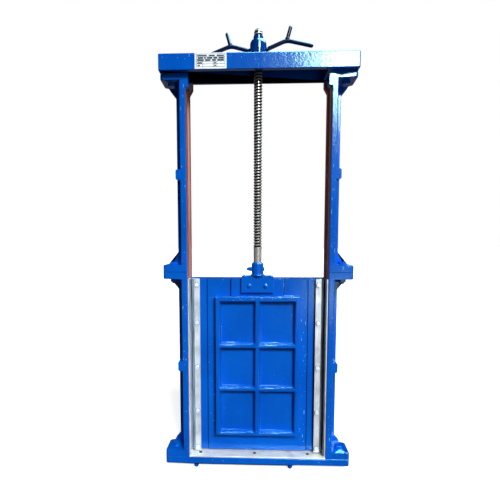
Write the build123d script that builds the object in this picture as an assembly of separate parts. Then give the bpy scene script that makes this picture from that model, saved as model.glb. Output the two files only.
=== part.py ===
from build123d import *
import os

os.makedirs("parts", exist_ok=True)

# driving sizes in mm: wall face at y = 0, front toward -Y, z = 0 on the bottom beam's top
pass_half = 150.0        # water passage
pass_tall = 500.0
pass_z0 = 80.0
guide_room = 94.0        # from the passage's side to a post's inner face
door_over = 66.0         # door's top above the passage
upper_tall = 667.0       # upper posts, joint to yoke
post_depth = 98.0
gap = 5.0                # clearance round what slides

# posts and their flanges
post_face = 22.0         # width of a post's front face
back_reach = 47.0        # back flange, outward from the inner face
back_t = 22.0            # back flange and seat frame thickness
groove_deep = 9.0        # guide groove in the inner face
flange_reach = 64.0      # flanges, outward from the post's front face
foot_t = 26.0
mid_t = 25.0
top_t = 21.0
joint_over = 1.0         # flange underside above the door's top
edge_r = 4.0             # rounding of the cast front edges
corner_r = 9.0           # rounding of the flange corners

# flares of the back flange toward each flange: (short of the flange's end, height)
flare_mid = (4.0, 43.0)
flare_top = (14.0, 32.0)
flare_foot = (19.0, 24.0)

ear_reach = 15.0         # ears halfway up the posts' outer sides
ear_tall = 35.0
ear_r = 6.0

pad_in = 9.0             # pads at the top of the upper posts' inner faces
pad_tall = 45.0
pad_deep = 34.0
rear_in = 12.0           # rear lugs behind them
rear_tall = 42.0

anchor_r = 7.0           # blind holes for wall studs in the back flanges
anchor_deep = 16.0
anchor_in = 10.0         # from the back flange's outer edge
anchor_up = 190.0        # from the foot
anchor_down = 149.0      # from the yoke

flange_bolt_r = 8.0
flange_bolt_af = 24.0
flange_head_t = 10.0
flange_nut_t = 13.0
flange_tail = 5.0
hole_play = 0.2

# bottom beam and the nubs left under its front: distances from its left and right ends
beam_t = 24.0
nub_left = 110.0
nub_right = 211.0
nub_r = 8.5
nub_in = 0.5             # behind the beam's front
nub_drop = 16.0
nub_end_r = 7.0

# seat facing, bare liners on the guides and on the sill
seat_rim = 20.0
seat_proud = 4.0
liner_t = 4.0
liner_inset = 2.0        # in front of the groove
sill_t = 5.0
sill_inset = 1.0

# yoke and nameplate
yoke_over = 22.0         # in front of the posts
yoke_tall = 54.0
yoke_wall = 14.0
yoke_r = 5.0
tap_deep = 27.0          # bolt holes in the yoke's ends
plate_in = 122.0         # from the yoke's left end
plate_w = 104.0
plate_rim = 2.0
plate_t = 1.0

# door
door_t = 24.0
band_in = 65.0           # raised middle band, from a post's inner face
band_proud = 3.0
pad_side = 36.0          # raised pad, wider than the bracket on each side
floor_proud = 7.0        # pad and rib panel floor, in front of the plate
rib_in = 1.0             # rib panel against the passage
rib_over = 5.0
rib_proud = 27.0         # rib fronts, in front of the plate
rib_side = 15.0
rib_mid = 15.0
rib_top = 18.0
rib_low = 10.5
rib_cross = 12.0
mid_pocket = 146.5       # height of the middle pockets
draft_deg = 11.0

# side seals, their clamp bars and bolts
bar_off = 38.0           # bar's inner edge from a post's inner face
bar_w = 20.0
bar_t = 6.0
seal_hide = 1.0          # seal's inner edge, under the bar
seal_t = 8.0
bulb_r = 4.0
bar_bolt_low = 16.0      # bolts from the bar's ends, and the next ones from those
bar_bolt_high = 21.0
bar_bolt_step = 136.0
bar_bolt_r = 4.0
bar_head_af = 14.0
bar_head_t = 6.0
bolt_bite = 15.0
bolt_end = 5.0           # hole deeper than the bolt

# spindle, its bracket and pin
axis_back = 2.0          # spindle's axis behind the bracket's seat
spindle_r = 14.5
spindle_over = 100.0     # above the yoke
spindle_dome = 10.0
bracket_half = 58.0
bracket_up = 12.0        # above the rib panel
bracket_t = 12.0
bracket_lip = 11.0
bracket_rear = 22.0      # behind the spindle's axis
bracket_r = 8.0
collar_r = 21.0
collar_tall = 48.0
collar_cham = 5.0
bracket_bolt_x = 29.0
bracket_bolt_r = 5.0
bracket_head_r = 8.5
bracket_head_t = 5.0
pin_r = 4.5
pin_left = 18.0          # beyond the collar
pin_right = 3.5
pin_head_r = 7.0
pin_split_r = 7.0
pin_tip_r = 2.0
socket_play = 0.2

# lift nut and handle
nut_play = 0.3
neck_r = 20.0
neck_play = 0.5
washer_t = 3.0
washer_r = 31.0
run_gap = 0.5
hub_r = 28.0
hub_tall = 66.0          # above the yoke
hub_shoulder = 10.0
hub_top_r = 16.5
keep_r = 27.0
keep_t = 12.0
rod_r = 6.5
arm_turn = -9.0          # handle as parked, about the spindle
arm_root_up = 30.0       # distances from the axis and heights above the yoke's top
arm_fork = (96.0, 55.0)
arm_tip = (184.0, 28.5)
arm_pin = (110.0, 100.0)

bury = 4.0               # joined solids run into each other by this
past = 6.0               # cutters run past a face by this
hex_sides = 6
hex_turn = 30.0          # flats upright

# figures that follow from the sizes above
pass_z1 = pass_z0 + pass_tall
inner_half = pass_half + guide_room
web_x = inner_half + post_face
back_x = inner_half + back_reach
groove_x = inner_half + groove_deep
flange_half = web_x + flange_reach
front_y = -post_depth
groove_back = back_t + seat_proud
door_back = groove_back + gap
groove_front = door_back + door_t + gap
door_z0 = sill_t + gap
door_z1 = pass_z1 + door_over
joint_z = door_z1 + joint_over + mid_t
top_z = joint_z + upper_tall
yoke_z1 = top_z + yoke_tall
yoke_y = front_y - yoke_over
plate_under = yoke_z1 - yoke_wall
anchor_x = back_x - anchor_in
flange_bolt_x = web_x + flange_reach / 2
flange_bolt_y = (front_y - back_t) / 2
nub_y = front_y + nub_in + nub_r

plate_y = -(door_back + door_t)
band_y = plate_y - band_proud
floor_y = plate_y - floor_proud
rib_y = plate_y - rib_proud
seal_y = plate_y - seal_t
bar_y = seal_y - bar_t
tongue_half = groove_x - gap
band_half = inner_half - band_in
pad_half = bracket_half + pad_side
rib_half = pass_half - rib_in
rib_z0 = pass_z0 - rib_over
rib_z1 = pass_z1 + rib_over
pocket_z0 = rib_z0 + rib_low
pocket_z1 = rib_z1 - rib_top
pocket_mid = (pocket_z0 + pocket_z1) / 2
seal_out = inner_half - liner_t - gap
bar_in = inner_half - bar_off
bar_x = bar_in + bar_w / 2
seal_in = bar_in + seal_hide
bolt_low = door_z0 + bar_bolt_low
bolt_high = door_z1 - bar_bolt_high
bolt_mid = (bolt_low + bolt_high) / 2
bar_bolt_zs = (bolt_low, bolt_low + bar_bolt_step, bolt_mid, bolt_high - bar_bolt_step, bolt_high)

axis_y = floor_y + axis_back
bracket_y = floor_y - bracket_t
bracket_z0 = rib_z1 + bracket_up
bracket_bolt_z = (bracket_z0 + door_z1) / 2
lip_z1 = door_z1 + bracket_lip
collar_z1 = lip_z1 + collar_tall
pin_z = lip_z1 + collar_tall / 2
spindle_z1 = yoke_z1 + spindle_over
hub_z0 = yoke_z1 + washer_t + run_gap
hub_z1 = yoke_z1 + hub_tall
keep_z1 = plate_under - run_gap
keep_z0 = keep_z1 - keep_t


def block(x0, x1, y0, y1, z0, z1):
    size = (abs(x1 - x0), abs(y1 - y0), abs(z1 - z0))
    return Pos((x0 + x1) / 2, (y0 + y1) / 2, (z0 + z1) / 2) * Box(*size)


def rod(p, q, r):
    start = Vector(*p)
    way = Vector(*q) - start
    return extrude(Plane(origin=start, z_dir=way) * Circle(r), amount=way.length)


def upright(r, x, y, z0, z1):
    return Pos(x, y, (z0 + z1) / 2) * Cylinder(r, z1 - z0)


def on_axis(r, z0, z1):
    return upright(r, 0, axis_y, z0, z1)


def across(r, x, z, y0, y1):
    return Pos(x, (y0 + y1) / 2, z) * Rot(90, 0, 0) * Cylinder(r, abs(y1 - y0))


def hex_up(af, x, y, z0, z1):
    face = Pos(x, y, z0) * RegularPolygon(af / 2, hex_sides, major_radius=False)
    return extrude(face, amount=z1 - z0)


def hex_front(af, x, z, y0, t):
    run = Plane(origin=(x, y0, z), x_dir=(1, 0, 0), z_dir=(0, -1, 0))
    face = RegularPolygon(af / 2, hex_sides, major_radius=False, rotation=hex_turn)
    return extrude(run * face, amount=t)


def prism(points, y0, y1):
    # a plate in the X-Z plane, from y0 forward to y1
    run = Plane(origin=(0, y0, 0), x_dir=(1, 0, 0), z_dir=(0, -1, 0))
    face = make_face(Polyline(*points, close=True))
    return extrude(run * face, amount=y0 - y1)


def post_run(z0, z1):
    outline = Polyline(
        (inner_half, front_y),
        (web_x, front_y),
        (web_x, -back_t),
        (back_x, -back_t),
        (back_x, 0),
        (inner_half, 0),
        (inner_half, -groove_back),
        (groove_x, -groove_back),
        (groove_x, -groove_front),
        (inner_half, -groove_front),
        close=True,
    )
    face = make_face(outline)
    front = face.vertices().group_by(Axis.Y)[0]
    face = fillet(front, edge_r)
    return extrude(Pos(0, 0, z0) * face, amount=z1 - z0)


def flange(z0, z1):
    # the outer part of a flange, with the bolt hole
    plate = block(web_x - bury, flange_half, front_y, -back_t, z0, z1)
    outer = plate.edges().filter_by(Axis.Z).sort_by(Axis.X)[-2:]
    plate = fillet(outer, corner_r)
    return plate - upright(flange_bolt_r + hole_play, flange_bolt_x, flange_bolt_y, z0 - past, z1 + past)


def flare(size, z_at, z_end):
    # the back flange widens toward z_at and stays wide to z_end, across the flange's edge
    short, tall = size
    z_start = z_at - tall if z_end > z_at else z_at + tall
    points = (
        (back_x - bury, z_start),
        (back_x, z_start),
        (flange_half - short, z_at),
        (flange_half - short, z_end),
        (back_x - bury, z_end),
    )
    return prism(points, 0, -back_t)


def ear(z_mid):
    z0 = z_mid - ear_tall / 2
    solid = block(web_x - bury, web_x + ear_reach, front_y, -back_t, z0, z0 + ear_tall)
    outer = solid.edges().filter_by(Axis.Y).sort_by(Axis.X)[-2:]
    return fillet(outer, ear_r)


def flange_bolt(z_head, z_nut):
    # head on top, nut below
    z_low = z_nut - flange_nut_t
    bolt = upright(flange_bolt_r, flange_bolt_x, flange_bolt_y, z_low - flange_tail, z_head)
    bolt += hex_up(flange_bolt_af, flange_bolt_x, flange_bolt_y, z_head, z_head + flange_head_t)
    return bolt + hex_up(flange_bolt_af, flange_bolt_x, flange_bolt_y, z_low, z_nut)


def both(name, solid):
    export_step(solid, f"parts/right_{name}.step")
    export_step(mirror(solid, about=Plane.YZ), f"parts/left_{name}.step")


# lower posts with foot and joint flange
lower = post_run(0, joint_z) + flange(0, foot_t) + flange(joint_z - mid_t, joint_z)
lower += flare(flare_foot, foot_t, 0) + flare(flare_mid, joint_z - mid_t, joint_z)
lower += ear(joint_z / 2)
lower -= across(anchor_r, anchor_x, anchor_up, -anchor_deep, past)
both("lower_post", lower)

# upper posts with joint flange, top flange, inner pad and rear lug
upper = post_run(joint_z, top_z) + flange(joint_z, joint_z + mid_t) + flange(top_z - top_t, top_z)
upper += flare(flare_mid, joint_z + mid_t, joint_z) + flare(flare_top, top_z - top_t, top_z)
upper += ear((joint_z + top_z) / 2)
pad_y = front_y + pad_deep
upper += block(inner_half - pad_in, inner_half + bury, front_y, pad_y, top_z - pad_tall, top_z)
rear = (
    (inner_half, top_z - rear_tall),
    (inner_half, top_z),
    (inner_half - rear_in, top_z),
    (inner_half - rear_in, top_z - top_t),
)
upper += prism(rear, 0, -back_t)
upper -= across(anchor_r, anchor_x, top_z - anchor_down, -anchor_deep, past)
both("upper_post", upper)

# bottom beam with its nubs
beam = block(-flange_half, flange_half, front_y, -back_t, -beam_t, 0)
beam = fillet(beam.edges().filter_by(Axis.Z).sort_by(Axis.Y)[:2], corner_r)
for x in (nub_left - flange_half, flange_half - nub_right):
    nub = upright(nub_r, x, nub_y, -beam_t - nub_drop, bury - beam_t)
    beam += fillet(nub.edges().group_by(Axis.Z)[0], nub_end_r)
for side in (-1, 1):
    x = side * flange_bolt_x
    beam -= upright(flange_bolt_r + hole_play, x, flange_bolt_y, -beam_t - past, past)
export_step(beam, "parts/bottom_beam.step")

# yoke, an inverted channel with solid ends
yoke = block(-flange_half, flange_half, yoke_y, 0, top_z, yoke_z1)
upper_edges = yoke.edges().filter_by(Axis.X).sort_by(Axis.Z)[-2:]
yoke = fillet(upper_edges + yoke.edges().filter_by(Axis.Z), yoke_r)
pocket_half = inner_half - yoke_wall
yoke -= block(-pocket_half, pocket_half, yoke_y + yoke_wall, -yoke_wall, top_z - past, plate_under)
yoke -= on_axis(neck_r + neck_play, plate_under - past, yoke_z1 + past)
for side in (-1, 1):
    x = side * flange_bolt_x
    yoke -= upright(flange_bolt_r + hole_play, x, flange_bolt_y, top_z - past, top_z + tap_deep)
export_step(yoke, "parts/yoke_beam.step")

# seat frame round the water passage, and its facing
seat = block(-inner_half, inner_half, -back_t, 0, -beam_t, joint_z - mid_t)
seat -= block(-pass_half, pass_half, -back_t - past, past, pass_z0, pass_z1)
export_step(seat, "parts/seat_frame.step")
rim = pass_half + seat_rim
facing = block(-rim, rim, -groove_back, -back_t, pass_z0 - seat_rim, pass_z1 + seat_rim)
facing -= block(-pass_half, pass_half, -groove_back - past, past, pass_z0, pass_z1)
export_step(facing, "parts/seat_facing.step")

# bare liners
liner_y = -groove_front - liner_inset
liner = block(inner_half - liner_t, inner_half, front_y + edge_r, liner_y, sill_t, joint_z - mid_t)
both("guide_liner", liner)
sill = block(-inner_half, inner_half, front_y + sill_inset, -back_t, 0, sill_t)
export_step(sill, "parts/sill_plate.step")

# flange bolts, the top ones screwed into the yoke
both("foot_bolt", flange_bolt(foot_t, -beam_t))
both("mid_bolt", flange_bolt(joint_z + mid_t, joint_z - mid_t))
top_seat = top_z - top_t
top_bolt = upright(flange_bolt_r, flange_bolt_x, flange_bolt_y, top_seat, top_z + tap_deep - bolt_end)
top_bolt += hex_up(flange_bolt_af, flange_bolt_x, flange_bolt_y, top_seat - flange_head_t, top_seat)
both("top_bolt", top_bolt)

# nameplate on the yoke's front
plate_x = plate_in - flange_half
plate = block(plate_x, plate_x + plate_w, yoke_y - plate_t, yoke_y, top_z + plate_rim, yoke_z1 - plate_rim)
export_step(plate, "parts/nameplate.step")

# thrust washer under the lift nut
washer = on_axis(washer_r, yoke_z1, yoke_z1 + washer_t)
washer -= on_axis(neck_r + neck_play, yoke_z1 - past, yoke_z1 + past)
export_step(washer, "parts/thrust_washer.step")

# door: plate whose edges run in the grooves, raised band, bracket pad and rib panel
door = block(-tongue_half, tongue_half, plate_y, -door_back, door_z0, door_z1)
door += block(-band_half, band_half, band_y, -door_back, door_z0, door_z1)
door += block(-pad_half, pad_half, floor_y, -door_back, pocket_z1, door_z1)
door += block(-rib_half, rib_half, rib_y, -door_back, rib_z0, rib_z1)
pockets = (
    (pocket_z0, pocket_mid - mid_pocket / 2 - rib_cross),
    (pocket_mid - mid_pocket / 2, pocket_mid + mid_pocket / 2),
    (pocket_mid + mid_pocket / 2 + rib_cross, pocket_z1),
)
pocket_w = rib_half - rib_side - rib_mid / 2
for side in (-1, 1):
    for z0, z1 in pockets:
        middle = (side * (rib_mid + pocket_w) / 2, rib_y, (z0 + z1) / 2)
        mouth = Plane(origin=middle, x_dir=(1, 0, 0), z_dir=(0, 1, 0))
        door -= extrude(mouth * Rectangle(pocket_w, z1 - z0), amount=floor_y - rib_y, taper=draft_deg)
    for z in bar_bolt_zs:
        hole_y = plate_y + bolt_bite + bolt_end
        door -= across(bar_bolt_r + hole_play, side * bar_x, z, hole_y, bar_y)
    hole_y = floor_y + bolt_bite + bolt_end
    door -= across(bracket_bolt_r + hole_play, side * bracket_bolt_x, bracket_bolt_z, hole_y, rib_y)
export_step(door, "parts/gate_door.step")

# side seals, clamp bars and bolts
seal = block(seal_in, seal_out - bulb_r, seal_y, plate_y, door_z0, door_z1)
seal += upright(bulb_r, seal_out - bulb_r, seal_y + bulb_r / 2, door_z0, door_z1)
bar = block(bar_in, bar_in + bar_w, bar_y, seal_y, door_z0, door_z1)
bolts = []
for z in bar_bolt_zs:
    seal -= across(bar_bolt_r + hole_play, bar_x, z, plate_y + past, seal_y - past)
    bar -= across(bar_bolt_r + hole_play, bar_x, z, seal_y + past, bar_y - past)
    shank = across(bar_bolt_r, bar_x, z, plate_y + bolt_bite, bar_y)
    bolts += [shank + hex_front(bar_head_af, bar_x, z, bar_y, bar_head_t)]
both("side_seal", seal)
both("seal_bar", bar)
both("bar_bolts", Compound(children=bolts))

# bracket on the door's top with the spindle socket
bracket = block(-bracket_half, bracket_half, bracket_y, floor_y, bracket_z0, lip_z1)
bracket += block(-bracket_half, bracket_half, floor_y, axis_y + bracket_rear, door_z1, lip_z1)
bracket = fillet(bracket.edges().filter_by(Axis.Y).group_by(Axis.Z)[-1], bracket_r)
socket = on_axis(collar_r, lip_z1 - bury, collar_z1)
bracket += chamfer(socket.edges().group_by(Axis.Z)[-1], collar_cham)
bracket -= on_axis(spindle_r + socket_play, lip_z1, collar_z1 + past)
pin_from = (-collar_r - past, axis_y, pin_z)
pin_to = (collar_r + past, axis_y, pin_z)
pin_hole = rod(pin_from, pin_to, pin_r + hole_play)
bracket -= pin_hole
studs = []
for side in (-1, 1):
    x = side * bracket_bolt_x
    bracket -= across(bracket_bolt_r + hole_play, x, bracket_bolt_z, floor_y + past, bracket_y - past)
    stud = across(bracket_bolt_r, x, bracket_bolt_z, floor_y + bolt_bite, bracket_y)
    studs += [stud + across(bracket_head_r, x, bracket_bolt_z, bracket_y, bracket_y - bracket_head_t)]
export_step(bracket, "parts/spindle_bracket.step")
export_step(Compound(children=studs), "parts/bracket_bolts.step")

# spindle, pinned in the socket
spindle = on_axis(spindle_r, lip_z1, spindle_z1)
spindle = fillet(spindle.edges().group_by(Axis.Z)[-1], spindle_dome)
export_step(spindle - pin_hole, "parts/spindle.step")
head_end = (collar_r + pin_right, axis_y, pin_z)
pin = rod((-collar_r, axis_y, pin_z), head_end, pin_r)
pin += rod((collar_r, axis_y, pin_z), head_end, pin_head_r)
tail = Rot(0, 90, 0) * Cone(pin_tip_r, pin_split_r, pin_left)
pin += Pos(-collar_r - pin_left / 2, axis_y, pin_z) * tail
export_step(pin, "parts/spindle_pin.step")

# lift nut, held in the yoke by its collar
nut = on_axis(hub_r, hub_z0, hub_z1)
nut += Pos(0, axis_y, hub_z1 + hub_shoulder / 2) * Cone(hub_r, hub_top_r, hub_shoulder)
nut += on_axis(neck_r, keep_z0, hub_z0)
nut -= on_axis(spindle_r + nut_play, keep_z0 - past, spindle_z1)
export_step(nut, "parts/lift_nut.step")
keep = on_axis(keep_r, keep_z0, keep_z1) - on_axis(neck_r, keep_z0 - past, keep_z1 + past)
export_step(keep, "parts/retaining_collar.step")

# handle arms, each with an upright grip at its fork
hub_core = upright(hub_r, 0, 0, hub_z0, hub_z1)
for name, side in (("left", -1), ("right", 1)):
    fork, tip, grip = [(side * r, 0, yoke_z1 + up) for r, up in (arm_fork, arm_tip, arm_pin)]
    arm = rod((side * hub_top_r, 0, yoke_z1 + arm_root_up), fork, rod_r)
    arm += rod(fork, tip, rod_r) + Pos(*fork) * Sphere(rod_r)
    arm += rod(fork, grip, rod_r)
    arm -= hub_core
    export_step(Pos(0, axis_y, 0) * Rot(0, 0, arm_turn) * arm, f"parts/{name}_arm.step")
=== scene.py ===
import math
import random

import bmesh
import bpy
from mathutils import Matrix, Vector


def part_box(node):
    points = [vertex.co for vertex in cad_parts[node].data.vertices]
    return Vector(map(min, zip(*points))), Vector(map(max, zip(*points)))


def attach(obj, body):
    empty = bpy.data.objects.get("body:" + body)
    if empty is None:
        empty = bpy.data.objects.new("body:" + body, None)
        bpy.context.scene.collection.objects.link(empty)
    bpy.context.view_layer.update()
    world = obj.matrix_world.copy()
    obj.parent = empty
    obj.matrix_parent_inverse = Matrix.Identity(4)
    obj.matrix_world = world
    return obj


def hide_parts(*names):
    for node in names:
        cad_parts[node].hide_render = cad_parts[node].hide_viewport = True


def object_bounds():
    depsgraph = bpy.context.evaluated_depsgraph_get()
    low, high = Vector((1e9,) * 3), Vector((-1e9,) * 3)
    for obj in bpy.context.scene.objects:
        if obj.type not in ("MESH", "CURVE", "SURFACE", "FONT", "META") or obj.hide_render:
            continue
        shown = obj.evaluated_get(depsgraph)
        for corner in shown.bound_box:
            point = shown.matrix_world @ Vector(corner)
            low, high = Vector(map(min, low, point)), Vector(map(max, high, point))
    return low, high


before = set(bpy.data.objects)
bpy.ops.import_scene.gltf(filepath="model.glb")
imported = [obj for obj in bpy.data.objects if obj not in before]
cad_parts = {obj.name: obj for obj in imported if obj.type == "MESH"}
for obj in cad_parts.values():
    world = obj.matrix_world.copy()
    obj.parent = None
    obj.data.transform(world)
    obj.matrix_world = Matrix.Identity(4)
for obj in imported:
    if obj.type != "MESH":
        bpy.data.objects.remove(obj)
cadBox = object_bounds()
print("frame loaded:", len(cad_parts), "nodes")

mm = 0.001
sides = {"left": -1, "right": 1}
toFront = Vector((0, -1, 0))
up = Vector((0, 0, 1))


# colours and nodes

def linear(hexText):
    parts = [int(hexText[i:i + 2], 16) / 255 for i in (1, 3, 5)]
    return tuple(p / 12.92 if p <= 0.04045 else ((p + 0.055) / 1.055) ** 2.4 for p in parts) + (1.0,)


def perMetre(sizeMm):
    return 1000 / sizeMm  # texture scale for a pattern of that size


def feed(tree, node, links):
    for name, source in links.items():
        tree.links.new(source, node.inputs[name])


def addNode(tree, kind, settings=None, links=None):
    node = tree.nodes.new("ShaderNode" + kind)
    for name, value in (settings or {}).items():
        if isinstance(name, int) or name in node.inputs:
            node.inputs[name].default_value = value
        else:
            setattr(node, name, value)
    feed(tree, node, links or {})
    return node


def startFinish(name, fixed):
    finish = bpy.data.materials.new(name)
    finish.use_nodes = True
    tree = finish.node_tree
    shader = tree.nodes["Principled BSDF"]
    for socket, value in fixed.items():
        shader.inputs[socket].default_value = value
    place = addNode(tree, "TexCoord").outputs["Object"]  # metres, in the part's own frame
    return finish, tree, shader, place


# blue enamel: thick gloss paint brushed over sand-cast iron, so an even deep blue with orange peel that
# breaks up the light, paler brush streaks and small nibs that catch it
# peel and nibs are drawn a few times coarser than real, or they would not show
enamel = dict(
    nib="#62A8F6", gleam="#C6FAE4", specular=0.5, toneMm=170, streakMm=45, streakLong=0.2, streakShare=0.2,
    nibMm=26, nibShare=0.05, waveMm=11, waveDeepMm=0.28, peelMm=7, peelDeepMm=0.4, nibDeepMm=0.6)


def blueEnamel(name, deep, bright, smooth, dull):
    finish, tree, shader, place = startFinish(
        name, {"Specular IOR Level": enamel["specular"], "Specular Tint": linear(enamel["gleam"])})
    tone = addNode(tree, "TexNoise", {"Scale": perMetre(enamel["toneMm"]), "Detail": 4.0}, {"Vector": place})
    tall = addNode(tree, "Mapping", {"Scale": (1, 1, enamel["streakLong"])}, {"Vector": place})
    streak = addNode(
        tree, "TexNoise", {"Scale": perMetre(enamel["streakMm"]), "Detail": 3.0, "Roughness": 0.6},
        {"Vector": tall.outputs[0]})
    both = addNode(
        tree, "Math", {"operation": "MULTIPLY_ADD", 1: enamel["streakShare"]},
        {0: streak.outputs["Fac"], 2: tone.outputs["Fac"]})
    share = addNode(tree, "MapRange", {"From Min": 0.4, "From Max": 0.8}, {"Value": both.outputs[0]})
    base = addNode(
        tree, "Mix", {"data_type": "RGBA", 6: linear(deep), 7: linear(bright)},
        {0: share.outputs[0]})
    cells = addNode(tree, "TexVoronoi", {"Scale": perMetre(enamel["nibMm"])}, {"Vector": place})
    nib = addNode(
        tree, "MapRange", {"From Min": enamel["nibShare"], "From Max": enamel["nibShare"] / 2},
        {"Value": cells.outputs["Distance"]})
    nibbed = addNode(
        tree, "Mix", {"data_type": "RGBA", 7: linear(enamel["nib"])}, {0: nib.outputs[0], 6: base.outputs[2]})
    gloss = addNode(
        tree, "MapRange", {"From Min": 0.3, "From Max": 0.7, "To Min": smooth, "To Max": dull},
        {"Value": streak.outputs["Fac"]})
    cast = addNode(tree, "TexNoise", {"Scale": perMetre(enamel["waveMm"]), "Detail": 2.0}, {"Vector": place})
    waves = addNode(
        tree, "Bump", {"Strength": 1.0, "Distance": enamel["waveDeepMm"] * mm},
        {"Height": cast.outputs["Fac"]})
    peel = addNode(tree, "TexNoise", {"Scale": perMetre(enamel["peelMm"]), "Detail": 1.0}, {"Vector": place})
    skin = addNode(
        tree, "Bump", {"Strength": 0.5, "Distance": enamel["peelDeepMm"] * mm},
        {"Height": peel.outputs["Fac"], "Normal": waves.outputs[0]})
    drops = addNode(
        tree, "Bump", {"Strength": 0.5, "Distance": enamel["nibDeepMm"] * mm},
        {"Height": nib.outputs[0], "Normal": skin.outputs[0]})
    feed(tree, shader, {
        "Base Color": nibbed.outputs[2], "Roughness": gloss.outputs[0], "Normal": drops.outputs[0]})
    return finish


# the plainer finishes: two tones in patches, a gloss that may follow them, a grain that bends the light
# the grain is drawn several times coarser than real, or it would not show

def mottledFinish(name, make, deep, bright):
    finish, tree, shader, place = startFinish(name, make["fixed"])
    noise = {}
    for kind in ("tone", "grain"):
        if kind + "Mm" in make:
            drawn = addNode(tree, "Mapping", {"Scale": make[kind + "Long"]}, {"Vector": place})
            noise[kind] = addNode(
                tree, "TexNoise", {"Scale": perMetre(make[kind + "Mm"]), "Detail": make[kind + "Detail"]},
                {"Vector": drawn.outputs[0]}).outputs["Fac"]
    low, high = make["toneEdges"]
    share = addNode(tree, "MapRange", {"From Min": low, "From Max": high}, {"Value": noise["tone"]})
    base = addNode(
        tree, "Mix", {"data_type": "RGBA", 6: linear(deep), 7: linear(bright)},
        {0: share.outputs[0]})
    feed(tree, shader, {"Base Color": base.outputs[2]})
    if "gloss" in make:
        low, high = make["gloss"]
        gloss = addNode(tree, "MapRange", {"To Min": low, "To Max": high}, {"Value": noise["tone"]})
        feed(tree, shader, {"Roughness": gloss.outputs[0]})
    if "grain" in noise:
        skin = addNode(
            tree, "Bump", {"Strength": make["grainStrength"], "Distance": make["grainDeepMm"] * mm},
            {"Height": noise["grain"]})
        feed(tree, shader, {"Normal": skin.outputs[0]})
    return finish


even, whole = (1, 1, 1), (0, 1)  # a pattern that isn't stretched, and tones that use all of it

# red oxide primer: dead flat and chalky, so the guides keep their brown from any side
primer = dict(
    fixed={"Specular IOR Level": 0.12, "Roughness": 0.85}, toneMm=22, toneDetail=5.0, toneLong=(1, 1, 0.12),
    toneEdges=(0.3, 0.7), grainMm=3, grainDetail=3.0, grainLong=even, grainDeepMm=0.3, grainStrength=0.4)

# navy enamel: the same gloss paint on smooth round bar, nearly black in the shade with a sharp light on top
navy = dict(
    fixed={"Specular IOR Level": 0.27}, toneMm=60, toneDetail=4.0, toneLong=even, toneEdges=whole,
    gloss=(0.24, 0.34), grainMm=12, grainDetail=3.0, grainLong=even, grainDeepMm=0.2, grainStrength=0.3)

# seal rubber: moulded strip, dark underneath a streaky grey bloom of dust
rubber = dict(
    fixed={"Specular IOR Level": 0.25, "Roughness": 0.75}, toneMm=20, toneDetail=6.0, toneLong=(1, 1, 0.15),
    toneEdges=(0.3, 0.58), grainMm=9, grainDetail=2.0, grainLong=(1, 1, 0.15), grainDeepMm=0.6,
    grainStrength=0.4)

# machined bronze: warm yellow metal with fine tool marks, browned where it has aged
bronze = dict(
    fixed={"Metallic": 1.0}, toneMm=40, toneDetail=6.0, toneLong=even, toneEdges=whole, gloss=(0.28, 0.5),
    grainMm=3, grainDetail=2.0, grainLong=even, grainDeepMm=0.15, grainStrength=0.2)

# plate aluminium: thin rolled sheet gone matt, with a fine level grain and a few dull smears
sheet = dict(
    fixed={"Metallic": 0.15, "Specular Tint": linear("#5A5C60")}, toneMm=30, toneDetail=4.0, toneLong=even,
    toneEdges=whole, gloss=(0.45, 0.65), grainMm=1.5, grainDetail=3.0, grainLong=(0.05, 1, 1),
    grainDeepMm=0.1, grainStrength=0.15)

# printing ink: flat black, slightly worn
ink = dict(
    fixed={"Specular IOR Level": 0.2, "Roughness": 0.6}, toneMm=8, toneDetail=4.0, toneLong=even,
    toneEdges=whole)

# dull strip metal: rolled bar gone matt white-grey, scuffed lengthwise and stained in places
strip = dict(
    stain="#8A8177", edge="#3A3D40", metal=0.3, scuffMm=5, patchMm=55, stainMm=90, scuffShare=0.6,
    smooth=0.38, matt=0.6, scuffDeepMm=0.25)


def stripMetal(name, along, dull, bright):
    finish, tree, shader, place = startFinish(
        name, {"Metallic": strip["metal"], "Specular Tint": linear(strip["edge"])})
    drawn = addNode(tree, "Mapping", {"Scale": along}, {"Vector": place})
    scuff = addNode(
        tree, "TexNoise", {"Scale": perMetre(strip["scuffMm"]), "Detail": 4.0, "Roughness": 0.7},
        {"Vector": drawn.outputs[0]})
    patch = addNode(tree, "TexNoise", {"Scale": perMetre(strip["patchMm"]), "Detail": 5.0}, {"Vector": place})
    mixed = addNode(
        tree, "Math", {"operation": "MULTIPLY_ADD", 1: strip["scuffShare"]},
        {0: scuff.outputs["Fac"], 2: patch.outputs["Fac"]})
    share = addNode(tree, "MapRange", {"From Min": 0.55, "From Max": 1.05}, {"Value": mixed.outputs[0]})
    metal = addNode(
        tree, "Mix", {"data_type": "RGBA", 6: linear(dull), 7: linear(bright)},
        {0: share.outputs[0]})
    dirt = addNode(tree, "TexNoise", {"Scale": perMetre(strip["stainMm"]), "Detail": 6.0}, {"Vector": place})
    marked = addNode(
        tree, "MapRange", {"From Min": 0.58, "From Max": 0.75, "To Max": 0.6}, {"Value": dirt.outputs["Fac"]})
    stained = addNode(
        tree, "Mix", {"data_type": "RGBA", 7: linear(strip["stain"])},
        {0: marked.outputs[0], 6: metal.outputs[2]})
    gloss = addNode(
        tree, "MapRange", {"To Min": strip["matt"], "To Max": strip["smooth"]}, {"Value": mixed.outputs[0]})
    lines = addNode(
        tree, "Bump", {"Strength": 0.3, "Distance": strip["scuffDeepMm"] * mm},
        {"Height": scuff.outputs["Fac"]})
    feed(tree, shader, {
        "Base Color": stained.outputs[2], "Roughness": gloss.outputs[0], "Normal": lines.outputs[0]})
    return finish


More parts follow.
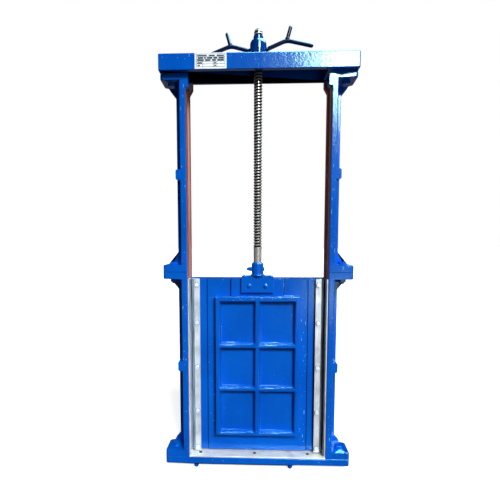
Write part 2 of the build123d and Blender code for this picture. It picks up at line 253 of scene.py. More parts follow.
# turned spindle steel: grey bar dark toward its edges, black grease left in the thread's roots
# ring marks of the lathe are drawn coarser than real, or they would not show
turned = dict(
    crest="#D0CCC6", body="#A5A19C", grease="#1C1A18", stain="#7A6148", edge="#262524", metal=0.55,
    rootShare=0.83, crestShare=0.96, mottleMm=18, ringMm=1.6, ringDeepMm=0.1, oily=0.42, dry=0.3)


def spindleSteel(name, axis, radius):
    finish, tree, shader, place = startFinish(
        name, {"Metallic": turned["metal"], "Specular Tint": linear(turned["edge"])})
    axes = addNode(tree, "SeparateXYZ", None, {0: place})
    flat = addNode(tree, "CombineXYZ", None, {0: axes.outputs[0], 1: axes.outputs[1]})
    reach = addNode(
        tree, "VectorMath", {"operation": "DISTANCE", 1: (axis.x, axis.y, 0)}, {0: flat.outputs[0]})
    crest = addNode(
        tree, "MapRange",
        {"From Min": turned["rootShare"] * radius, "From Max": turned["crestShare"] * radius},
        {"Value": reach.outputs["Value"]})
    mottle = addNode(
        tree, "TexNoise", {"Scale": perMetre(turned["mottleMm"]), "Detail": 5.0},
        {"Vector": place})
    steel = addNode(
        tree, "Mix", {"data_type": "RGBA", 6: linear(turned["body"]), 7: linear(turned["crest"])},
        {0: mottle.outputs["Fac"]})
    rust = addNode(
        tree, "MapRange", {"From Min": 0.56, "From Max": 0.72, "To Max": 0.7},
        {"Value": mottle.outputs["Fac"]})
    stained = addNode(
        tree, "Mix", {"data_type": "RGBA", 7: linear(turned["stain"])},
        {0: rust.outputs[0], 6: steel.outputs[2]})
    oily = addNode(
        tree, "Mix", {"data_type": "RGBA", 6: linear(turned["grease"])},
        {0: crest.outputs[0], 7: stained.outputs[2]})
    gloss = addNode(
        tree, "MapRange", {"To Min": turned["oily"], "To Max": turned["dry"]}, {"Value": crest.outputs[0]})
    rings = addNode(
        tree, "TexWave",
        {"bands_direction": "Z", "Scale": perMetre(turned["ringMm"]) / (2 * math.pi), "Distortion": 1.5},
        {"Vector": place})
    lines = addNode(
        tree, "Bump", {"Strength": 0.15, "Distance": turned["ringDeepMm"] * mm},
        {"Height": rings.outputs["Fac"]})
    feed(tree, shader, {
        "Base Color": oily.outputs[2], "Roughness": gloss.outputs[0], "Normal": lines.outputs[0]})
    return finish


spindleLow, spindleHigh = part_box("spindle")
spindleR = (spindleHigh.x - spindleLow.x) / 2
axisAt = (spindleLow + spindleHigh) / 2
lengthwise = 0.06  # patterns on drawn metal are stretched along it by this share
finishes = {
    "castBlue": blueEnamel("enamelOnCastIron", "#004EB4", "#015CC8", smooth=0.12, dull=0.18),
    # the hub: the cast enamel made darker, as painted shade on the glossy hub
    "hubBlue": blueEnamel("enamelOnHubPaintedShade", "#012663", "#03409A", smooth=0.08, dull=0.16),
    "primer": mottledFinish("oxidePrimerWorn", primer, "#8C4C43", "#B8766A"),
    # the paler chalky primer: the groove's own tone, and painted light on the rear lug
    "chalkAndPaintedLight": mottledFinish("oxidePrimerChalkyAndPaintedLight", primer, "#A36A61", "#C99B91"),
    "navy": mottledFinish("navyEnamelOnBar", navy, "#030A1E", "#0A2048"),
    # nibs: the enamel made paler on the drops of paint, as painted highlight
    "nib": blueEnamel("enamelNibsPaintedHighlight", "#3F8CE6", "#8FC1F5", smooth=0.1, dull=0.2),
    # a dark matt blue for lines of painted shade in joints and at steps
    "seam": mottledFinish("seamPaintedShade", primer, "#03102E", "#08225A"),
    "upStrip": stripMetal("dullStripUpright", (1, 1, lengthwise), "#B4BABF", "#EEF1F4"),
    "zinc": stripMetal("dullZincHead", even, "#DCE2EA", "#FFFFFF"),
    # dark grey washers: grime, and painted shade round the bolt heads
    "washerGrimeAndShade": stripMetal("grimyWasherAndPaintedShade", even, "#33373B", "#6B7075"),
    "levelStrip": stripMetal("dullStripLevel", (lengthwise, 1, 1), "#D4D2CA", "#F2EEE2"),
    "spindle": spindleSteel("turnedSteelOily", axisAt, spindleR),
    "rubber": mottledFinish("dustySealRubber", rubber, "#2C353D", "#7E94AA"),
    "bronze": mottledFinish("machinedBronze", bronze, "#C79A55", "#7F5A30"),
    "plate": mottledFinish("rolledAluminium", sheet, "#F6F7FA", "#D2D6DE"),
    "ink": mottledFinish("printedInk", ink, "#15171B", "#3A3D42"),
}
print("finishes made:", len(finishes))


# making and keeping pieces

def keepPiece(name, bm, finish, body, nodes=(), smoothDeg=40):
    bmesh.ops.recalc_face_normals(bm, faces=bm.faces)
    mesh = bpy.data.meshes.new(name)
    bm.to_mesh(mesh)
    bm.free()
    mesh.shade_smooth()
    mesh.set_sharp_from_angle(angle=math.radians(smoothDeg))
    for each in [finish] if isinstance(finish, str) else finish:
        mesh.materials.append(finishes[each])
    piece = bpy.data.objects.new(name, mesh)
    bpy.context.scene.collection.objects.link(piece)
    weighNormals(piece)
    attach(piece, body)
    if nodes:
        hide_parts(*nodes)
    return piece


def weighNormals(piece):
    # wide faces stay flat and only the rounded edges bend the light
    weigh = piece.modifiers.new("weigh", "WEIGHTED_NORMAL")
    weigh.keep_sharp = True
    graph = bpy.context.evaluated_depsgraph_get()
    plain = piece.data
    piece.data = bpy.data.meshes.new_from_object(piece.evaluated_get(graph), depsgraph=graph)
    piece.modifiers.clear()
    bpy.data.meshes.remove(plain)
    piece.data.name = piece.name


# faces that turn less than flatDeg are one, and edges that turn more than sharpDeg are rounded
# a normal past leaning faces that way on the whole, and past square it faces straight that way
form = dict(weldMm=0.01, cutMm=0.001, flatDeg=1.0, sharpDeg=32.0, leaning=0.5, square=0.99)


def formOf(node):
    # the node's own form, its flat faces made whole
    bm = bmesh.new()
    bm.from_mesh(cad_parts[node].data)
    bmesh.ops.remove_doubles(bm, verts=bm.verts, dist=form["weldMm"] * mm)
    bmesh.ops.dissolve_limit(bm, angle_limit=math.radians(form["flatDeg"]), verts=bm.verts, edges=bm.edges)
    return bm


def onHole(edge):
    # a rim belongs to a hole when the wall beside it bends inward
    for face in edge.link_faces:
        for other in face.edges:
            if other.is_manifold and not other.is_convex:
                if math.radians(form["flatDeg"]) < other.calc_face_angle() < math.radians(form["sharpDeg"]):
                    return True
    return False


def isSharp(edge):
    return edge.is_manifold and edge.calc_face_angle() > math.radians(form["sharpDeg"]) and not onHole(edge)


def roundEdges(bm, segments, sizeMm):
    # each sharp edge gets its own rounding, given by a function of the edge, all in one go
    weight = bm.edges.layers.float.new("bevel_weight_edge")
    bm.normal_update()
    sharp = [edge for edge in bm.edges if isSharp(edge)]
    sizes = [sizeMm(edge) for edge in sharp]
    for edge, size in zip(sharp, sizes):
        edge[weight] = size / max(sizes)
    mesh = bpy.data.meshes.new("rounding")
    bm.to_mesh(mesh)
    blank = bpy.data.objects.new("rounding", mesh)
    bpy.context.scene.collection.objects.link(blank)
    bevel = blank.modifiers.new("bevel", "BEVEL")
    bevel.limit_method = "WEIGHT"
    bevel.width = max(sizes) * mm
    bevel.segments = segments
    bevel.use_clamp_overlap = False
    graph = bpy.context.evaluated_depsgraph_get()
    rounded = bpy.data.meshes.new_from_object(blank.evaluated_get(graph), depsgraph=graph)
    bm.clear()
    bm.from_mesh(rounded)
    for layer in bm.edges.layers.float.values():
        bm.edges.layers.float.remove(layer)
    bpy.data.objects.remove(blank)
    bpy.data.meshes.remove(mesh)
    bpy.data.meshes.remove(rounded)


def frameAt(at, axis):
    return Matrix.Translation(at) @ axis.to_track_quat("Z", "Y").to_matrix().to_4x4()


def roundTurn(steps):
    return [2 * math.pi * k / steps for k in range(steps)]


def joinRings(bm, rings):
    for low, high in zip(rings, rings[1:]):
        count = max(len(low), len(high))
        for k in range(count):
            n = (k + 1) % count
            corners = [low[k % len(low)], low[n % len(low)], high[n % len(high)], high[k % len(high)]]
            bm.faces.new(list(dict.fromkeys(corners)))


def lathe(bm, outline, at, axis, steps=32):
    # outline is (radius mm, height mm) along the axis, open or closed at radius 0
    grid = frameAt(at, axis)
    rings = []
    for radius, height in outline:
        if radius == 0:
            rings.append([bm.verts.new(grid @ Vector((0, 0, height * mm)))])
            continue
        rings.append([
            bm.verts.new(grid @ Vector((radius * mm * math.cos(a), radius * mm * math.sin(a), height * mm)))
            for a in roundTurn(steps)])
    joinRings(bm, rings)


hexagon = dict(crownShare=0.94, chamferDeg=30.0, steps=48)


def hexHead(bm, at, axis, flatsMm, tallMm, turnDeg):
    # six flats with the usual round chamfer on top
    grid = frameAt(at, axis) @ Matrix.Rotation(math.radians(turnDeg), 4, "Z")
    half = flatsMm / 2
    crown = hexagon["crownShare"] * half
    low, waist, top = [], [], []
    for a in roundTurn(hexagon["steps"]):
        inSide = (a + math.pi / 6) % (math.pi / 3) - math.pi / 6  # from the middle of its flat
        reach = half / math.cos(inSide)
        drop = (reach - crown) * math.tan(math.radians(hexagon["chamferDeg"]))
        way = Vector((math.cos(a), math.sin(a), 0))
        low.append(bm.verts.new(grid @ (way * reach * mm)))
        waist.append(bm.verts.new(grid @ (way * reach * mm + up * (tallMm - drop) * mm)))
        top.append(bm.verts.new(grid @ (way * crown * mm + up * tallMm * mm)))
    joinRings(bm, [low, waist, top])
    bm.faces.new(top)
    bm.faces.new(low[::-1])


def washer(bm, make, at, axis):
    wide, tall, edge = make["washerMm"], make["washerTallMm"], make["washerEdgeMm"]
    lathe(bm, [(0, 0), (wide, 0), (wide, tall - edge), (wide - edge, tall), (0, tall)], at, axis)


domeEnd = ((1.0, 0.0), (0.87, 0.5), (0.5, 0.87), (0.0, 1.0))  # shares of the radius, outward and wide


def sweep(bm, points, radiiMm, steps=20, level=toFront):
    # a round bar along the points, domed at both ends
    rings = []
    last = len(points) - 1
    for i, point in enumerate(points):
        ahead = (points[min(i + 1, last)] - points[max(i - 1, 0)]).normalized()
        side = ahead.cross(level).normalized()
        lift = side.cross(ahead).normalized()
        ends = domeEnd[-1:]
        if i == 0:
            ends = [(-along, wide) for along, wide in domeEnd]
        elif i == last:
            ends = domeEnd[::-1]
        for along, wide in ends:
            middle = point + ahead * along * radiiMm[i] * mm
            if wide == 0:
                rings.append([bm.verts.new(middle)])
                continue
            rings.append([
                bm.verts.new(middle + (side * math.cos(a) + lift * math.sin(a)) * wide * radiiMm[i] * mm)
                for a in roundTurn(steps)])
    joinRings(bm, rings)


# paint and welds that lie on the castings, lumpy so that each lump holds a spot of light, and dark lines of
# painted shade in joints and at steps
bead = dict(thin=0.45, steps=10)
ringWeld = dict(thin=0.7, points=28, steps=12)
seamSteps = 8
nibDrop = dict(sunkMm=0.3, outline=((1.0, 0.0), (0.9, 0.45), (0.55, 0.85)), steps=10)
sag = dict(
    sunkMm=0.5, outline=((1.0, -0.1), (0.92, 0.3), (0.75, 0.6), (0.5, 0.84), (0.25, 0.96)), steps=14,
    longShare=0.55, tallShare=0.3, strayMm=0.8, least=0.6)
scatter = dict(wideMm=(0.4, 1.15), nibLong=(0.9, 1.6), runLong=(3.0, 8.0), runEvery=8, tallMm=(0.35, 0.8))


def levelLine(x0, x1, y, z):
    return Vector((x0, y, z)), Vector((x1, y, z))


def spotsAlong(start, end, stepMm):
    count = max(int((end - start).length / (stepMm * mm)), 2)  # two spans at least
    return [start.lerp(end, k / count) for k in range(count + 1)]


def giveFinish(bm, before, index):
    for face in set(bm.faces) - before:
        face.material_index = index


def paintBead(bm, start, end, radiusMm, stepMm, seed):
    draw = random.Random(seed)
    points = spotsAlong(start, end, stepMm)
    sweep(bm, points, [radiusMm * draw.uniform(bead["thin"], 1.0) for _ in points], bead["steps"])


def seamLine(bm, points, radiusMm, index):
    # a dark line of painted shade lying in a joint or at a step
    before = set(bm.faces)
    level = up if points[0].z == points[-1].z else toFront
    sweep(bm, points, [radiusMm] * len(points), seamSteps, level)
    giveFinish(bm, before, index)


def weldRing(bm, at, radiusMm, beadMm, seed):
    # a weld round an upright tube
    draw = random.Random(seed)
    turn = roundTurn(ringWeld["points"]) + [2 * math.pi]
    points = [at + Vector((math.cos(a), math.sin(a), 0)) * radiusMm * mm for a in turn]
    sweep(bm, points, [beadMm * draw.uniform(ringWeld["thin"], 1.0) for _ in points], ringWeld["steps"], up)


def paintDrop(bm, at, wideMm, longMm, tallMm, shape):
    # a drop of paint standing on a front face, its foot sunk in
    rings = [[bm.verts.new(at - toFront * shape["sunkMm"] * mm)]]
    for reach, rise in shape["outline"]:
        wide, tall = wideMm * reach, longMm * reach
        rings.append([
            bm.verts.new(at + Vector((wide * math.cos(a), -tallMm * rise, tall * math.sin(a))) * mm)
            for a in roundTurn(shape["steps"])])
    rings.append([bm.verts.new(at + toFront * tallMm * mm)])
    joinRings(bm, rings)


def paintSags(bm, start, end, wideMm, stepMm, seed):
    # thick drips side by side along an edge
    draw = random.Random(seed)
    for spot in spotsAlong(start, end, stepMm):
        at = spot + up * draw.uniform(-sag["strayMm"], sag["strayMm"]) * mm
        wide = wideMm * draw.uniform(sag["least"], 1.0)
        paintDrop(bm, at, wide, wide * sag["longShare"], wide * sag["tallShare"], sag)


def scatterDrops(bm, xs, zs, y, count, seed, index):
    # nibs with a few longer runs among them, on the front face at y, in the pale nib finish, which is painted
    # highlight
    draw = random.Random(seed)
    before = set(bm.faces)
    for k in range(count):
        at = Vector((draw.uniform(*sorted(xs)), y, draw.uniform(*zs)))
        wide = draw.uniform(*scatter["wideMm"])
        stretch = "runLong" if k % scatter["runEvery"] == 0 else "nibLong"
        longer = draw.uniform(*scatter[stretch])
        paintDrop(bm, at, wide, wide * longer, draw.uniform(*scatter["tallMm"]), nibDrop)
    giveFinish(bm, before, index)


# castings of the frame, and the bracket on the gate
# the pale nibs are painted highlight, so the right-hand pieces, which face the light, get more of them
castings = {
    "bottom_beam": dict(roundMm=2.5, body="frame", drops=8),
    "left_lower_post": dict(body="frame", drops=20),
    "right_lower_post": dict(body="frame", drops=30),
    "left_upper_post": dict(body="frame", drops=18),
    "right_upper_post": dict(body="frame", drops=60),
    "yoke_beam": dict(roundMm=2.5, body="frame", drops=36),
    "seat_frame": dict(roundMm=1.5, body="frame", drops=0),
    "spindle_bracket": dict(roundMm=2.0, body="gate", drops=0),
}
castFinish = ["castBlue", "primer", "chalkAndPaintedLight", "nib", "seam"]
castSteps = 3  # facets in a rounded edge
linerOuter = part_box("right_guide_liner")[1].x
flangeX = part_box("right_lower_post")[1].x
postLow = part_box("right_upper_post")[0]
doorLow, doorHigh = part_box("gate_door")
studLow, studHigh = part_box("bracket_bolts")
groove = dict(landMm=0.3, frontMm=-60.3, backMm=-25.7, wideMm=10.0, padMm=36.0, padTallMm=46.0)
postEdge = dict(cornerMm=9.5, jointMm=8.0, frontMm=6.0, shortMm=12.0, cornerRoundMm=4.0, longRoundMm=2.0)
postNibs = dict(acrossMm=(5.0, 19.0), endMm=30.0)
# pale nibs by the joint on the right only, as painted highlight where the light falls
jointNibs = dict(acrossMm=(262.0, 320.0), upMm=(3.0, 24.0), counts={-1: 0, 1: 8}, seed=30)
jointSeam = dict(startMm=2.0, frontMm=0.7, cornerMm=9.0, bendMm=2.5, sideMm=1.2, backMm=6.0, thickMm=1.1)
footBead = dict(startMm=3.0, endMm=7.0, inMm=0.4, thickMm={-1: 1.6, 1: 2.6}, stepMm=4.0, seed=40)
beamNibs = dict(edgeMm=8.0, bandMm=20.0, yokeMm=(-70.0, 200.0), yokeSeed=50)
stud = dict(
    wideMm=8.5, tallMm=5.0,
    outlineMm=((0, 0), (8.5, 0), (8.5, 1.2), (7.8, 2.6), (6.2, 3.9), (3.6, 4.7), (0, 5.0)))
bracketPaint = dict(
    lipMm=11.0, endMm=26.0, inMm=1.6, downMm=1.2, thickMm=3.8, stepMm=5.0, seed=7, cornerMm=(5.0, 20.0),
    cornerInMm=3.0, cornerDownMm=(2.0, 1.0), cornerThickMm=5.6, cornerStepMm=7.0, cornerSeed=8,
    weldUpMm=2.2, weldMm=21.4, weldThickMm=3.6, weldSeed=12)


def primerFaces(bm, low, high):
    # guides were left in primer: the land beside the groove, the groove itself and the rear lug; the rear lug
    # takes the paler chalky primer as painted light, since it lies in shade
    land = linerOuter + groove["landMm"] * mm
    for face in bm.faces:
        at = face.calc_center_median()
        inward = -face.normal.x * math.copysign(1, at.x)
        between = groove["frontMm"] * mm < at.y < groove["backMm"] * mm
        inGroove = between and abs(at.x) < linerOuter + groove["wideMm"] * mm
        onPad = at.y < low.y + groove["padMm"] * mm and at.z > high.z - groove["padTallMm"] * mm
        if inGroove and abs(at.x) > land:
            face.material_index = castFinish.index("chalkAndPaintedLight")
        elif abs(at.x) < land and inward > form["leaning"] and not onPad:
            face.material_index = castFinish.index("primer")
        # faces behind the front, the rear lug among them: the paler primer here is painted light on faces
        # that lie in shade
        elif abs(at.x) < linerOuter and at.y > low.y + groove["padMm"] * mm:
            face.material_index = castFinish.index("chalkAndPaintedLight")


def postRound(edge):
    # outer corners of the flanges most, then the long edges behind the front, which is round already
    ends = [v.co for v in edge.verts]
    away = all(abs(co.x) > flangeX - postEdge["cornerMm"] * mm for co in ends)
    if away and all(min(abs(co.z - postLow.z), abs(co.z)) > postEdge["jointMm"] * mm for co in ends):
        return postEdge["cornerRoundMm"]
    behind = all(co.y > postLow.y + postEdge["frontMm"] * mm for co in ends)
    return postEdge["longRoundMm"] if behind and edge.calc_length() > postEdge["shortMm"] * mm else 0.0


def jointPaintedShade(bm, side, low):
    # a dark line of painted shade in the joint between two posts, from the guide round the flange's corner to
    # the back
    seam = {key: size * mm for key, size in jointSeam.items()}
    route = [
        (linerOuter + seam["startMm"], low.y + seam["frontMm"]),
        (flangeX - seam["cornerMm"], low.y + seam["frontMm"]),
        (flangeX - seam["bendMm"], low.y + seam["bendMm"]),
        (flangeX - seam["sideMm"], low.y + seam["cornerMm"]),
        (flangeX - seam["sideMm"], -seam["backMm"])]
    points = [Vector((side * x, y, low.z)) for x, y in route]
    seamLine(bm, points, jointSeam["thickMm"], castFinish.index("seam"))


def paintPost(bm, node, low, high, count, seed):
    side = sides[node.split("_")[0]]
    nib = castFinish.index("nib")
    across = [side * (linerOuter + reach * mm) for reach in postNibs["acrossMm"]]
    end = postNibs["endMm"] * mm
    scatterDrops(bm, across, (low.z + end, high.z - end), low.y, count, seed, nib)
    if "upper" in node:
        jointPaintedShade(bm, side, low)
        across = [side * reach * mm for reach in jointNibs["acrossMm"]]
        tall = [low.z + rise * mm for rise in jointNibs["upMm"]]
        scatterDrops(bm, across, tall, low.y, jointNibs["counts"][side], seed + jointNibs["seed"], nib)
    else:
        start, end = linerOuter + footBead["startMm"] * mm, flangeX - footBead["endMm"] * mm
        foot = levelLine(side * start, side * end, low.y + footBead["inMm"] * mm, low.z)
        paintBead(bm, *foot, footBead["thickMm"][side], footBead["stepMm"], seed + footBead["seed"])


def paintBeam(bm, node, low, high, count, seed):
    nib = castFinish.index("nib")
    edge = beamNibs["edgeMm"] * mm
    band = (high.z - beamNibs["bandMm"] * mm, high.z - edge)
    scatterDrops(bm, (low.x + edge, high.x - edge), band, low.y, count, seed, nib)
    if node == "yoke_beam":
        across = [x * mm for x in beamNibs["yokeMm"]]
        face = (low.z + edge, high.z - edge)
        scatterDrops(bm, across, face, low.y, count, seed + beamNibs["yokeSeed"], nib)


def paintBracket(bm, low, high):
    # paint run together along the lip, thickest at its corners, and a weld round the socket
    paint = bracketPaint
    frontY = studLow.y + stud["tallMm"] * mm
    lipZ = doorHigh.z + paint["lipMm"] * mm
    short = paint["endMm"] * mm
    lip = levelLine(low.x + short, high.x - short, frontY + paint["inMm"] * mm, lipZ - paint["downMm"] * mm)
    paintBead(bm, *lip, paint["thickMm"], paint["stepMm"], paint["seed"])
    for x, inward in ((low.x, mm), (high.x, -mm)):
        corner = [
            Vector((x + reach * inward, frontY + paint["cornerInMm"] * mm, lipZ - down * mm))
            for reach, down in zip(paint["cornerMm"], paint["cornerDownMm"])]
        paintBead(bm, *corner, paint["cornerThickMm"], paint["cornerStepMm"], paint["cornerSeed"])
    weldAt = Vector((axisAt.x, axisAt.y, lipZ + paint["weldUpMm"] * mm))
    weldRing(bm, weldAt, paint["weldMm"], paint["weldThickMm"], paint["weldSeed"])


for seed, (node, make) in enumerate(castings.items()):
    bm = formOf(node)
    isPost = node.endswith("post")
    roundEdges(bm, castSteps, postRound if isPost else lambda edge: make["roundMm"])
    low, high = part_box(node)
    if isPost:
        primerFaces(bm, low, high)
        paintPost(bm, node, low, high, make["drops"], seed)
    elif make["drops"]:
        paintBeam(bm, node, low, high, make["drops"], seed)
    elif node == "spindle_bracket":
        paintBracket(bm, low, high)
    keepPiece(node + "_casting", bm, castFinish, make["body"], [node])
print("castings rounded:", len(castings))

# door: rib fronts are rounded most, the low steps of its band and pad least, its running edges are bare
door = dict(
    ribTopMm=8.0, ribRoundMm=3.0, stepRoundMm=1.2, pocketRoundMm=3.0, roundSteps=5, shortMm=24.0,
    floorMm=-62.0, panelHalfMm=140.0, panelMm=(80.0, 575.0), bareFromMm=227.0, nearMm=0.3, frontMm=0.5)
doorFinish = ["castBlue", "rubber", "nib", "seam"]
ribPaint = dict(
    topMm=585.0, beadMm=(-141.0, 143.0), beadInMm=3.6, beadDownMm=3.4, beadThickMm=3.6, beadStepMm=6.0,
    beadSeed=3, sagInMm=1.2, sagDownMm=4.5, sagSeed=4,
    sagsMm=((-139.0, 141.0, 5.0, 9.0), (92.38, 143.0, 6.5, 5.0)))  # from, to, width, step
poolPaint = dict(endMm=5.0, outMm=15.5, downMm=2.0, thickMm=3.4, stepMm=5.0, seed=60)
# dark lines of painted shade at the edges of the pad and the band
doorSeam = dict(
    topMm=642.0, linesMm=(  # x, y, foot, thickness
        (-94.6, -60.7, 587.0, 2.2), (94.6, -60.7, 587.0, 1.7),
        (-180.2, -56.7, 14.0, 1.0), (180.2, -56.7, 14.0, 1.7)))
# pale nibs as painted highlight, more of them on the right side, which faces the light
bandNibs = dict(
    acrossMm=(156.0, 176.0), upMm=(40.0, 600.0), frontMm=-58.0, counts={1: 40, -1: 16}, seeds={1: 21, -1: 22})
ribNibs = dict(acrossMm=(-140.0, 140.0), upMm=(570.0, 582.0), count=26, seed=23)
floorY = door["floorMm"] * mm


def inPanel(at):
    low, high = door["panelMm"]
    return abs(at.x) < door["panelHalfMm"] * mm and low * mm < at.z < high * mm


def doorRound(edge):
    ends = [v.co for v in edge.verts]
    if all(co.y < doorLow.y + door["frontMm"] * mm for co in ends):
        onTop = any(face.normal.z > form["leaning"] for face in edge.link_faces)
        return door["ribTopMm"] if onTop else door["ribRoundMm"]
    if all(abs(co.y - floorY) < door["nearMm"] * mm and inPanel(co) for co in ends):
        return door["pocketRoundMm"]
    return door["stepRoundMm"] if edge.calc_length() > door["shortMm"] * mm else 0.0


def pocketFloors(bm):
    floors = []
    for face in bm.faces:
        at = face.calc_center_median()
        atFloor = abs(at.y - floorY) < door["nearMm"] * mm
        if face.normal.y < -form["square"] and atFloor and inPanel(at):
            floors.append(([v.co.x for v in face.verts], [v.co.z for v in face.verts]))
    return floors


def paintRibs(bm, floors):
    # thick paint along the top rib, and a pool of it on the rib under each pocket
    paint = ribPaint
    x0, x1 = [x * mm for x in paint["beadMm"]]
    top = paint["topMm"] * mm
    line = levelLine(x0, x1, doorLow.y + paint["beadInMm"] * mm, top - paint["beadDownMm"] * mm)
    paintBead(bm, *line, paint["beadThickMm"], paint["beadStepMm"], paint["beadSeed"])
    for i, (x0, x1, wide, step) in enumerate(paint["sagsMm"]):
        line = levelLine(x0 * mm, x1 * mm, doorLow.y + paint["sagInMm"] * mm, top - paint["sagDownMm"] * mm)
        paintSags(bm, *line, wide, step, paint["sagSeed"] + i)
    pool = poolPaint
    for i, (xs, zs) in enumerate(floors):
        x0, x1 = min(xs) + pool["endMm"] * mm, max(xs) - pool["endMm"] * mm
        line = levelLine(x0, x1, floorY - pool["outMm"] * mm, min(zs) - pool["downMm"] * mm)
        paintBead(bm, *line, pool["thickMm"], pool["stepMm"], pool["seed"] + i)


bm = formOf("gate_door")
floors = pocketFloors(bm)
roundEdges(bm, door["roundSteps"], doorRound)
for side in sides.values():
    bmesh.ops.bisect_plane(
        bm, geom=bm.verts[:] + bm.edges[:] + bm.faces[:], plane_no=(1, 0, 0), dist=form["cutMm"] * mm,
        plane_co=(side * door["bareFromMm"] * mm, 0, 0))
for face in bm.faces:
    if abs(face.calc_center_median().x) > door["bareFromMm"] * mm:
        face.material_index = doorFinish.index("rubber")
paintRibs(bm, floors)
for x, y, foot, thick in doorSeam["linesMm"]:
    ends = [Vector((x, y, z)) * mm for z in (foot, doorSeam["topMm"])]
    seamLine(bm, ends, thick, doorFinish.index("seam"))
nib = doorFinish.index("nib")
for side, count in bandNibs["counts"].items():
    across, tall = [[reach * mm for reach in bandNibs[key]] for key in ("acrossMm", "upMm")]
    scatterDrops(
        bm, [side * x for x in across], tall, bandNibs["frontMm"] * mm, count, bandNibs["seeds"][side], nib)
across, tall = [[reach * mm for reach in ribNibs[key]] for key in ("acrossMm", "upMm")]
scatterDrops(bm, across, tall, doorLow.y, ribNibs["count"], ribNibs["seed"], nib)
keepPiece("gate_door_casting", bm, doorFinish, "gate", ["gate_door"])
print("door cast")

# bare strips, seats and seals
strips = {
    "left_guide_liner": dict(roundMm=0.6, finish="upStrip", body="frame", slot="bare_steel"),
    "right_guide_liner": dict(roundMm=0.6, finish="upStrip", body="frame", slot="bare_steel"),
    "sill_plate": dict(roundMm=0.8, finish="levelStrip", body="frame", slot="bare_steel"),
    "left_seal_bar": dict(roundMm=0.9, finish="upStrip", body="gate", slot="bare_steel"),
    "right_seal_bar": dict(roundMm=0.9, finish="upStrip", body="gate", slot="bare_steel"),
    "left_side_seal": dict(roundMm=0.8, finish="rubber", body="gate", slot="rubber"),
    "right_side_seal": dict(roundMm=0.8, finish="rubber", body="gate", slot="rubber"),
    "seat_facing": dict(roundMm=0.6, finish="bronze", body="frame", slot="bronze"),
    "thrust_washer": dict(roundMm=0.5, finish="bronze", body="frame", slot="bronze"),
    "retaining_collar": dict(roundMm=1.0, finish="spindle", body="handle", slot="spindle_steel"),
}
stripSteps = 2
for node, make in strips.items():
    bm = formOf(node)
    roundEdges(bm, stripSteps, lambda edge: make["roundMm"])
    keepPiece(node + "_strip", bm, make["finish"], make["body"], [node])
print("strips made:", len(strips))

# flange bolts: hexagon head or nut on a washer, thread showing past the nut
flangeBolt = dict(
    flatsMm=24.0, headMm=10.0, nutMm=13.0, washerMm=14.5, washerTallMm=2.0, washerEdgeMm=0.5, shankMm=8.0,
    tailMm=5.0, tailEdgeMm=1.5, tailSunkMm=4.0, tailSteps=24, turnsDeg={"foot": 8, "mid": 21, "top": 3},
    nutTurnDeg=11)


def flangeNut(bm, at, turnDeg):
    make = flangeBolt
    shank, tail, edge = make["shankMm"], make["tailMm"], make["tailEdgeMm"]
    washer(bm, make, at, -up)
    nutAt = at - up * make["washerTallMm"] * mm
    hexHead(bm, nutAt, -up, make["flatsMm"], make["nutMm"] - make["washerTallMm"], turnDeg)
    thread = [(shank, -make["tailSunkMm"]), (shank, tail - edge), (shank - edge, tail), (0, tail)]
    lathe(bm, thread, at - up * make["nutMm"] * mm, -up, make["tailSteps"])


for side in sides:
    for place, turnDeg in flangeBolt["turnsDeg"].items():
        node = f"{side}_{place}_bolt"
        low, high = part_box(node)
        x, y = (low.x + high.x) / 2, (low.y + high.y) / 2
        bm = bmesh.new()
        headWay = -up if place == "top" else up
        seatZ = low.z + flangeBolt["headMm"] * mm if place == "top" else high.z - flangeBolt["headMm"] * mm
        seat = Vector((x, y, seatZ))
        thick = flangeBolt["washerTallMm"]
        washer(bm, flangeBolt, seat, headWay)
        headAt = seat + headWay * thick * mm
        hexHead(bm, headAt, headWay, flangeBolt["flatsMm"], flangeBolt["headMm"] - thick, turnDeg)
        if place != "top":
            nutSeat = Vector((x, y, low.z + (flangeBolt["nutMm"] + flangeBolt["tailMm"]) * mm))
            flangeNut(bm, nutSeat, turnDeg + flangeBolt["nutTurnDeg"])
        keepPiece(node + "_set", bm, "castBlue", "frame", [node])
print("flange bolts made")

# clamp bar bolts, each at its own turn, their washers dark grey: grime, and painted shade round each head
barBolt = dict(
    flatsMm=14.0, headMm=6.0, washerMm=8.6, washerTallMm=1.2, washerEdgeMm=0.3, lowMm=16.0, highMm=21.0,
    stepMm=136.0, firstTurnDeg=5, nextTurnDeg=17)
boltFinish = ["zinc", "washerGrimeAndShade"]
for side in sides:
    barLow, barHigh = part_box(f"{side}_seal_bar")
    x = (barLow.x + barHigh.x) / 2
    first, last = barLow.z + barBolt["lowMm"] * mm, barHigh.z - barBolt["highMm"] * mm
    step = barBolt["stepMm"] * mm
    thick = barBolt["washerTallMm"]
    bm = bmesh.new()
    for i, z in enumerate((first, first + step, (first + last) / 2, last - step, last)):
        seat = Vector((x, barLow.y, z))
        before = set(bm.faces)
        washer(bm, barBolt, seat, toFront)
        giveFinish(bm, before, boltFinish.index("washerGrimeAndShade"))
        turnDeg = barBolt["firstTurnDeg"] + barBolt["nextTurnDeg"] * i
        headAt = seat + toFront * thick * mm
        hexHead(bm, headAt, toFront, barBolt["flatsMm"], barBolt["headMm"] - thick, turnDeg)
    keepPiece(f"{side}_bar_bolts_set", bm, boltFinish, "gate", [f"{side}_bar_bolts"])
print("bar bolts made")

# bracket bolts: painted over, so soft domes
bm = bmesh.new()
for x in (studLow.x + stud["wideMm"] * mm, studHigh.x - stud["wideMm"] * mm):
    seat = Vector((x, studLow.y + stud["tallMm"] * mm, (studLow.z + studHigh.z) / 2))
    lathe(bm, stud["outlineMm"], seat, toFront)
keepPiece("bracket_bolts_domes", bm, "castBlue", "gate", ["bracket_bolts"])

